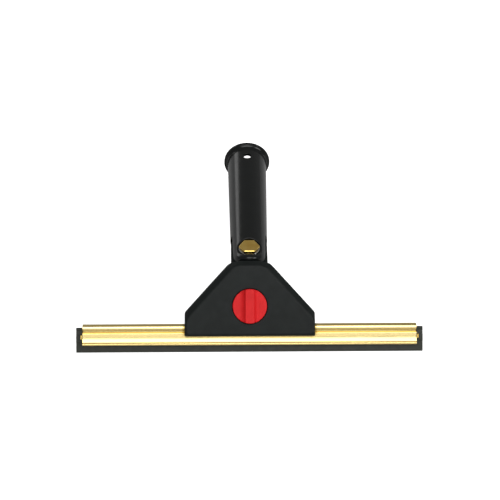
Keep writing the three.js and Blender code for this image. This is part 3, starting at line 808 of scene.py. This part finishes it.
def front_cover(x, y, z):
    field = both(head_outside(x, y, z), y + SPLIT, 0.3)
    field = cut(field, swing(x, y, z), 0.4)
    field = cut(field, cavity(x, y, z), 0.3)
    field = either(field, both(posts(x, y, z, POST_RADIUS), between(y, -HEAD_FRONT + 1.2, -SPLIT)), 0.4)
    knob = length(x, z - KNOB_HEIGHT)
    boss = both(knob - RECESS_RADIUS - HEAD_WALL, between(y, -HEAD_FRONT + 1, -5.8), 0.3)
    field = either(field, boss, 0.4)
    guide = SLIDE_HALF + SLIDE_PLAY
    guides = both(between(np.abs(x), guide, guide + GUIDE_WALL), between(z, JAW_TOP - 1, SLIDE_REACH))
    field = either(field, both(guides, between(y, -HEAD_FRONT + 1, CAM_BACK)), 0.3)
    field = cut(field, both(knob - RECESS_RADIUS, y - RECESS_FLOOR, 0.3), 0.4)
    field = cut(field, knob - SHAFT_RADIUS - GAP, 0.2)
    field = cut(field, rail_room(x, y, z, JAW_PLAY), 0.3)
    field = cut(field, foot_room(x, y, z), 0.2)
    field = cut(field, tongue(x, y, z, GAP), 0.3)
    bores = both(posts(x, y, z, SCREW_RADIUS + GAP), SCREW_TIP - GAP - y)
    return cut(field, bores, 0.15)


def make_head():
    low, high = (-HEAD_HALF, SPLIT, HEAD_LOW), (HEAD_HALF, TONGUE_END_BACK, TONGUE_END_TOP)
    mesh = skin("head_body", head_body, low, high, 0.4, 0.35)
    show(mesh, HEAD, "head", "head_body", "black_moulding", BLACK)
    low, high = (-HEAD_HALF, -HEAD_FRONT, HEAD_LOW), (HEAD_HALF, -SPLIT, HEAD_TOP)
    mesh = skin("front_cover", front_cover, low, high, 0.35, 0.35)
    show(mesh, HEAD, "head", "front_cover", "black_moulding", BLACK)


def make_cover_screws():
    def field(x, y, z):
        r = length(x, z)
        face = HEAD_BACK - SCREW_SUNK
        head = both(r - SCREW_HEAD_RADIUS, between(y, face - SCREW_HEAD_HEIGHT, face), 0.45)
        thread = SCREW_THREAD * np.cos(2 * np.pi * y / SCREW_PITCH + np.arctan2(x, z))
        shank = both(r - SCREW_RADIUS + SCREW_THREAD + thread, between(y, SCREW_TIP, face - 1), 0.3)
        slot = box(x, y, z, (-DRIVE_REACH, face - 1, -DRIVE_HALF), (DRIVE_REACH, face + 2, DRIVE_HALF), 0.1)
        return cut(either(head, shank, 0.2), slot, 0.12)
    for name, (a, b) in SCREW_PLACES.items():
        mesh = skin(name, field, (-3, SCREW_TIP, -3), (3, HEAD_BACK, 3), 0.16, 0.6)
        show(mesh, HEAD @ Matrix.Translation((a, 0, b)), "head", name, "steel", STEEL)


# ---- Knob, cam and slide ----
def lock_knob(x, y, z):
    r = length(x, z)
    disc = both(r - KNOB_RADIUS, between(y, KNOB_FACE, KNOB_BACK), 0.45)
    depth = np.clip((y - GRIP_FACE) / (KNOB_FACE - GRIP_FACE), 0, 1)
    half = GRIP_TOP_HALF + (GRIP_BASE_HALF - GRIP_TOP_HALF) * (1 - np.sqrt(1 - 0.97 * depth * depth))
    grip = both(both((np.abs(x) - half) * 0.75, GRIP_FACE - y, 0.4), y - KNOB_BACK)
    grip = both(grip, r - KNOB_RADIUS, 0.5)
    field = either(disc, grip, 0.4)
    field = either(field, both(r - SHAFT_RADIUS, between(y, KNOB_BACK - 1, CAM_FRONT), 0.2))
    square = both(np.abs(x) - SQUARE_HALF, np.abs(z) - SQUARE_HALF, 0.4)
    field = either(field, both(square, between(y, CAM_FRONT - 1, CAM_BACK), 0.2))
    return cut(field, both(r - CAM_SCREW_HOLE, CAM_SCREW_HOLE_END - y, 0.2))


def make_knob():
    reach = KNOB_RADIUS
    mesh = skin("lock_knob", lock_knob, (-reach, GRIP_FACE, -reach), (reach, CAM_BACK, reach), 0.25, 0.5)
    show(mesh, KNOB, "knob", "lock_knob", "red_plastic", RED)

    def cam(x, y, z):
        turn = np.arctan2(z, x)
        quarter = math.pi / 2
        up = np.clip(turn / quarter, 0, 1)
        down = np.clip((-turn - quarter) / quarter, 0, 1)
        radius = CAM_LARGE - CAM_DROP * np.where(turn >= 0, up, down)
        field = both(length(x, z) - radius, between(y, CAM_FRONT, CAM_BACK), 0.3)
        hole = SQUARE_HALF + GAP
        return cut(field, both(np.abs(x) - hole, np.abs(z) - hole), 0.2)

    reach = CAM_LARGE + 0.5
    mesh = skin("lock_cam", cam, (-reach, CAM_FRONT, -reach), (reach, CAM_BACK, reach), 0.2, 0.5)
    show(mesh, KNOB, "knob", "lock_cam", "white_plastic", WHITE)

    washer = rounded([(CAM_SCREW_HOLE, CAM_WASHER_FRONT, 0.1), (CAM_WASHER_RADIUS, CAM_WASHER_FRONT, 0.25),
                      (CAM_WASHER_RADIUS, CAM_WASHER_BACK, 0.25), (CAM_SCREW_HOLE, CAM_WASHER_BACK, 0.1)], 3)
    show(turned("cam_washer", washer), KNOB, "knob", "cam_washer", "steel", STEEL)

    def screw(x, y, z):
        r = length(x, z)
        head = both(r - CAM_SCREW_HEAD_RADIUS, between(y, CAM_SCREW_SEAT, CAM_SCREW_FACE), 0.4)
        thread = CAM_SCREW_THREAD * np.cos(2 * np.pi * y / CAM_SCREW_PITCH + np.arctan2(x, z))
        shank = both(r - CAM_SCREW_RADIUS + thread, between(y, CAM_SCREW_TIP, CAM_SCREW_SEAT + 0.4), 0.3)
        slot = box(x, y, z, (-DRIVE_REACH, CAM_SCREW_FACE - 1, -DRIVE_HALF),
                   (DRIVE_REACH, CAM_SCREW_FACE + 2, DRIVE_HALF), 0.1)
        return cut(either(head, shank, 0.2), slot, 0.12)

    reach = CAM_SCREW_HEAD_RADIUS
    mesh = skin("cam_screw", screw, (-reach, CAM_SCREW_TIP, -reach), (reach, CAM_SCREW_FACE, reach), 0.16, 0.6)
    show(mesh, KNOB, "knob", "cam_screw", "steel", STEEL)


def make_slide():
    low = (-SLIDE_HALF, CAM_FRONT, SLIDE_LOW)

    def slide(x, y, z):
        plate = box(x, y, z, low, (SLIDE_HALF, CAM_BACK, SLIDE_TOP), 0.4)
        foot = box(x, y, z, low, (SLIDE_HALF, FOOT_BACK, WINDOW_LOW), 0.4)
        window = box(x, y, z, (-WINDOW_HALF, -9, WINDOW_LOW), (WINDOW_HALF, 9, WINDOW_TOP), 0.5)
        return cut(either(plate, foot, 0.4), window, 0.3)

    mesh = skin("lock_slide", slide, low, (SLIDE_HALF, FOOT_BACK, SLIDE_TOP), 0.3, 0.4)
    show(mesh, HEAD, "lock", "lock_slide", "white_plastic", WHITE)

    pad_low, pad_high = (-PAD_HALF, -PAD_HALF_DEPTH, PAD_LOW), (PAD_HALF, PAD_HALF_DEPTH, PAD_TOP)

    def pad(x, y, z):
        return box(x, y, z, pad_low, pad_high, 0.35)

    mesh = skin("clamp_pad", pad, pad_low, pad_high, 0.25, 0.5)
    show(mesh, HEAD, "lock", "clamp_pad", "rubber", RUBBER)


# ---- Handle ----
FLARE_LOW = HANDLE_LENGTH - RIM_THICKNESS - RIM_FLARE
FLARE_ANGLES = np.linspace(0, math.pi / 2, 24)
TUBE_HEIGHTS = np.concatenate([[-30, 0], FLARE_LOW + RIM_FLARE * np.sin(FLARE_ANGLES), [200]])
TUBE_RADII = np.concatenate([
    [TUBE_RADIUS, TUBE_RADIUS], RIM_RADIUS - (RIM_RADIUS - MOUTH_RADIUS) * np.cos(FLARE_ANGLES), [RIM_RADIUS]])


def handle_tube(x, y, z):
    r = length(x, y)
    outside = r - np.interp(z, TUBE_HEIGHTS, TUBE_RADII)
    field = both(outside, z - HANDLE_LENGTH, 0.9)
    field = both(field, np.where(z < 0, length(x, z) - TUBE_RADIUS, -9), END_ROUND)
    socket = r - (SOCKET_END + (SOCKET_MOUTH - SOCKET_END) * (z - SOCKET_LOW) / (HANDLE_LENGTH - SOCKET_LOW))
    field = cut(field, both(socket, SOCKET_LOW - z, 0.8), 1.1)
    field = cut(field, both(np.abs(y) - SLOT_HALF, z - SLOT_TOP, 0.6), 0.6)
    field = cut(field, both(both(np.abs(x) - CORE_HALF, np.abs(y) - SLOT_HALF, 0.5), z - CORE_TOP, 0.5), 0.3)
    axis = length(x, z)
    field = cut(field, axis - PIVOT_HOLE, 0.3)
    field = cut(field, both(axis - SEAT_RADIUS, CHEEK_SEAT - np.abs(y), 0.4), 0.7)
    button = both(length(x, z - BUTTON_HEIGHT) - BUTTON_RADIUS, y)
    return cut(field, button, 0.4)


def hexagon(x, z):
    """Six sides, with corners to the left and right."""
    field = None
    for n in range(3):
        angle = math.radians(30 + 60 * n)
        side = np.abs(x * math.cos(angle) + z * math.sin(angle)) - HEX_HALF
        field = side if field is None else both(field, side, 0.25)
    return field


def make_handle():
    low, high = (-RIM_RADIUS, -RIM_RADIUS, -TUBE_RADIUS), (RIM_RADIUS, RIM_RADIUS, HANDLE_LENGTH)
    mesh = skin("handle_tube", handle_tube, low, high, 0.42, 0.4)
    show(mesh, HANDLE, "handle", "handle_tube", "black_moulding", GRIP_BLACK)

    corner = HEX_HALF / math.cos(math.pi / 6)

    def bolt(x, y, z):
        r = length(x, z)
        chamfer = (hexagon(x, z) + BOLT_CHAMFER - (y - BOLT_HEAD_FACE)) * math.sqrt(0.5)
        dish = BOLT_DISH * np.clip(1 - (r / HEX_HALF) ** 2, 0, 1)
        head = both(hexagon(x, z), between(y, BOLT_HEAD_FACE + dish, BOLT_HEAD_SEAT), 0.25)
        head = both(head, chamfer, 0.15)
        thread = BOLT_THREAD * np.cos(2 * np.pi * y / BOLT_PITCH + np.arctan2(x, z)) * (y > NUT_SEAT - 1)
        shank = both(r - BOLT_RADIUS + BOLT_THREAD + thread, between(y, BOLT_HEAD_SEAT - 1, BOLT_END), 0.5)
        return either(head, shank, 0.2)

    mesh = skin("pivot_bolt", bolt, (-corner, BOLT_HEAD_FACE, -corner), (corner, BOLT_END, corner), 0.2, 0.5)
    show(mesh, HANDLE, "handle", "pivot_bolt", "brass", TURNED_BRASS)

    def nut(x, y, z):
        r = length(x, z)
        out = (r - HEX_HALF - NUT_CROWN - (NUT_FACE - y) * NUT_CONE) / math.hypot(1, NUT_CONE)
        body = both(both(hexagon(x, z), between(y, NUT_SEAT, NUT_FACE), 0.25), out, 0.2)
        return cut(body, r - PIVOT_HOLE, 0.4)

    mesh = skin("pivot_nut", nut, (-corner, NUT_SEAT, -corner), (corner, NUT_FACE, corner), 0.2, 0.5)
    show(mesh, HANDLE, "handle", "pivot_nut", "brass", TURNED_BRASS)

    washer, spring = CHEEK_SEAT + GAP, -CHEEK_SEAT - GAP
    disc = TONGUE_HALF + GAP
    rings = (("pivot_washer", WASHER_RADIUS, washer, washer + WASHER_THICK, "steel", STEEL, 0),
             ("spring_washer", WASHER_RADIUS, spring - SPRING_THICK, spring, "steel", STEEL, SPRING_SPLIT),
             ("friction_disc_front", DISC_RADIUS, -disc - DISC_THICK, -disc, "white_plastic", WHITE, 0),
             ("friction_disc_rear", DISC_RADIUS, disc, disc + DISC_THICK, "white_plastic", WHITE, 0))
    for name, radius, near, far, slot, material, gap in rings:
        outline = rounded([(PIVOT_HOLE, near, 0.1), (radius, near, 0.2), (radius, far, 0.2),
                           (PIVOT_HOLE, far, 0.1)], 3)
        show(turned(name, outline, 96, gap), HANDLE, "handle", name, slot, material)


# ---- Stage, in metres ----
FLOOR_REACH = 12
FLOOR_DROP = 0.0002
SURROUNDINGS = 0.27  # how bright they are, to everything but the camera


def pale_floor():
    """Matt and pale. It also glows a little to the camera, so that it stays even round the object."""
    made = Surface("pale_floor", Roughness=0.9, Emission_Color=(1, 1, 1, 1))
    made.drive("Base Color", made.shades(made.noise(400, 2), (0.2, (0.56, 0.56, 0.56)), (0.8, (0.60, 0.60, 0.60))))
    made.drive("Emission Strength", made.nodes.new("ShaderNodeLightPath").outputs["Is Camera Ray"])
    return made.material


def make_stage():
    mesh = bpy.data.meshes.new("floor")
    corners = [(-FLOOR_REACH, -FLOOR_REACH, 0), (FLOOR_REACH, -FLOOR_REACH, 0),
               (FLOOR_REACH, FLOOR_REACH, 0), (-FLOOR_REACH, FLOOR_REACH, 0)]
    mesh.from_pydata(corners, [], [(0, 1, 2, 3)])
    mesh.materials.append(pale_floor())
    floor = bpy.data.objects.new("floor", mesh)
    floor.location.z = -FLOOR_DROP
    bpy.context.scene.collection.objects.link(floor)


def lamp(name, azimuth, elevation, distance, width, height, radiance):
    """A soft box that faces the object. Azimuth 0 is where the camera stands, and 90 is to the right."""
    light = bpy.data.lights.new(name, "AREA")
    light.shape = "RECTANGLE"
    light.size, light.size_y = width, height
    light.energy = radiance * math.pi * width * height
    made = bpy.data.objects.new(name, light)
    a, e = math.radians(azimuth), math.radians(elevation)
    back = Vector((math.sin(a) * math.cos(e), -math.cos(a) * math.cos(e), math.sin(e)))
    middle = (cad_low + cad_high) / 2
    made.location = middle + back * distance
    made.rotation_mode = "QUATERNION"
    made.rotation_quaternion = back.to_track_quat("Z", "Y")
    made.visible_camera = False
    bpy.context.scene.collection.objects.link(made)


def make_lights():
    world = bpy.data.worlds.new("studio")
    world.use_nodes = True
    nodes, links = world.node_tree.nodes, world.node_tree.links
    surroundings = nodes["Background"]
    surroundings.inputs["Color"].default_value = (SURROUNDINGS, SURROUNDINGS, SURROUNDINGS, 1)
    backdrop = nodes.new("ShaderNodeBackground")
    backdrop.inputs["Color"].default_value = (1, 1, 1, 1)
    mix = nodes.new("ShaderNodeMixShader")
    links.new(nodes.new("ShaderNodeLightPath").outputs["Is Camera Ray"], mix.inputs["Fac"])
    links.new(surroundings.outputs["Background"], mix.inputs[1])
    links.new(backdrop.outputs["Background"], mix.inputs[2])
    links.new(mix.outputs["Shader"], nodes["World Output"].inputs["Surface"])
    bpy.context.scene.world = world
    # azimuth, elevation, distance, width, height, radiance
    lamp("high_box", 0, 62, 1.5, 1.1, 1.05, 2.9)
    lamp("front_box", 0, 26, 1.7, 1.0, 0.7, 0.8)
    lamp("right_key", 62, 38, 1.2, 0.6, 0.5, 4.5)
    lamp("left_rear_box", -147, 6, 1.0, 0.6, 0.22, 1.5)


# ---- Camera: where it looks, how far off it is, and how it is turned ----
LOOK_AT = (0.45, -36.05, 49.92)
CAMERA_DISTANCE = 1000
CAMERA_AZIMUTH = 1.444
CAMERA_ELEVATION = 48.2
CAMERA_ROLL = 0.827
CAMERA_LENS = 99.77
SENSOR = 36


def make_camera():
    azimuth, elevation, roll = map(math.radians, (CAMERA_AZIMUTH, CAMERA_ELEVATION, CAMERA_ROLL))
    ahead = Vector((math.sin(azimuth) * math.cos(elevation), math.cos(azimuth) * math.cos(elevation),
                    -math.sin(elevation)))
    level = Vector((math.cos(azimuth), -math.sin(azimuth), 0))
    upright = level.cross(ahead)
    right = level * math.cos(roll) + upright * math.sin(roll)
    up = upright * math.cos(roll) - level * math.sin(roll)
    data = bpy.data.cameras.new("camera")
    data.lens = CAMERA_LENS
    data.sensor_width = SENSOR
    camera = bpy.data.objects.new("camera", data)
    turn = Matrix((right, up, -ahead)).transposed().to_4x4()
    camera.matrix_world = Matrix.Translation((Vector(LOOK_AT) - ahead * CAMERA_DISTANCE) * 0.001) @ turn
    bpy.context.scene.collection.objects.link(camera)
    bpy.context.scene.camera = camera


make_rail()
make_rubber()
make_clips()
make_head()
make_cover_screws()
make_knob()
make_slide()
make_handle()
make_stage()
make_lights()
make_camera()
bpy.context.scene.view_settings.view_transform = "Standard"
